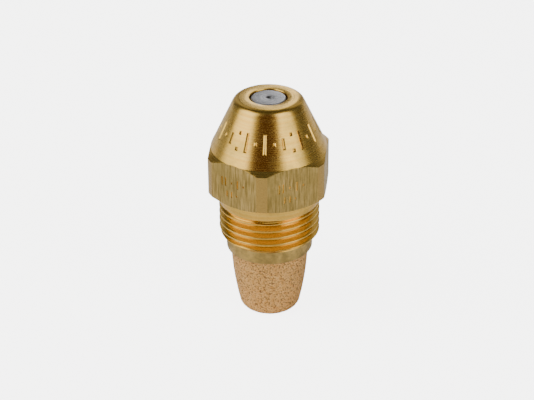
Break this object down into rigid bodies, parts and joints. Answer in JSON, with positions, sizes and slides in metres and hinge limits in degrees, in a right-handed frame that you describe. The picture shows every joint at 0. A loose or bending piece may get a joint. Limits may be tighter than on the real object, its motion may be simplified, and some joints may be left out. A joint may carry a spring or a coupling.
{
  "type": "oil burner nozzle",
  "caption": "Brass oil burner nozzle: hexagonal body with conical nose, steel orifice disc in the tip, threaded shank and a tapered sintered bronze filter.",
  "frame": {"origin": "on the nozzle's axis, in the rear face of the hexagon, where the plain band of the shank starts", "axes": "+Z along the axis towards the spray tip, the thread and the filter towards -Z, two hexagon flats facing +X and -X"},
  "size_m": [0.016, 0.0176, 0.0326],
  "materials": {
    "body_brass": "turned, with drawn hexagon flats",
    "stainless_steel": "lapped",
    "screw_brass": "turned",
    "fitting_brass": "dull, slightly tarnished",
    "sintered_bronze": "sintered, granular and porous"
  },
  "bodies": {
    "nozzle": {"nozzle_body": "body_brass", "orifice_disc": "stainless_steel"},
    "filter": {"filter_cup": "sintered_bronze"},
    "fitting": {"filter_fitting": "fitting_brass"},
    "swirler": {"distributor": "stainless_steel"},
    "retainer": {"retainer_screw": "screw_brass"}
  },
  "joints": [
    {"name": "filter_travel", "type": "slide", "parent": "nozzle", "child": "filter", "axis": [0, 0, -1], "range_m": [0, 0.0044]},
    {"name": "filter_turn", "type": "hinge", "parent": "filter", "child": "fitting", "pos_m": [0, 0, -0.0071], "axis": [0, 0, -1], "range_deg": [0, 1980]},
    {"name": "retainer_travel", "type": "slide", "parent": "nozzle", "child": "swirler", "axis": [0, 0, -1], "range_m": [0, 0.0032]},
    {"name": "retainer_turn", "type": "hinge", "parent": "swirler", "child": "retainer", "pos_m": [0, 0, 0.004], "axis": [0, 0, -1], "range_deg": [0, 1440]}
  ],
  "couplings": [
    {"joint": "filter_travel", "follows": "filter_turn", "m_per_rad": 0.00012633},
    {"joint": "retainer_travel", "follows": "retainer_turn", "m_per_rad": 0.00012633}
  ]
}
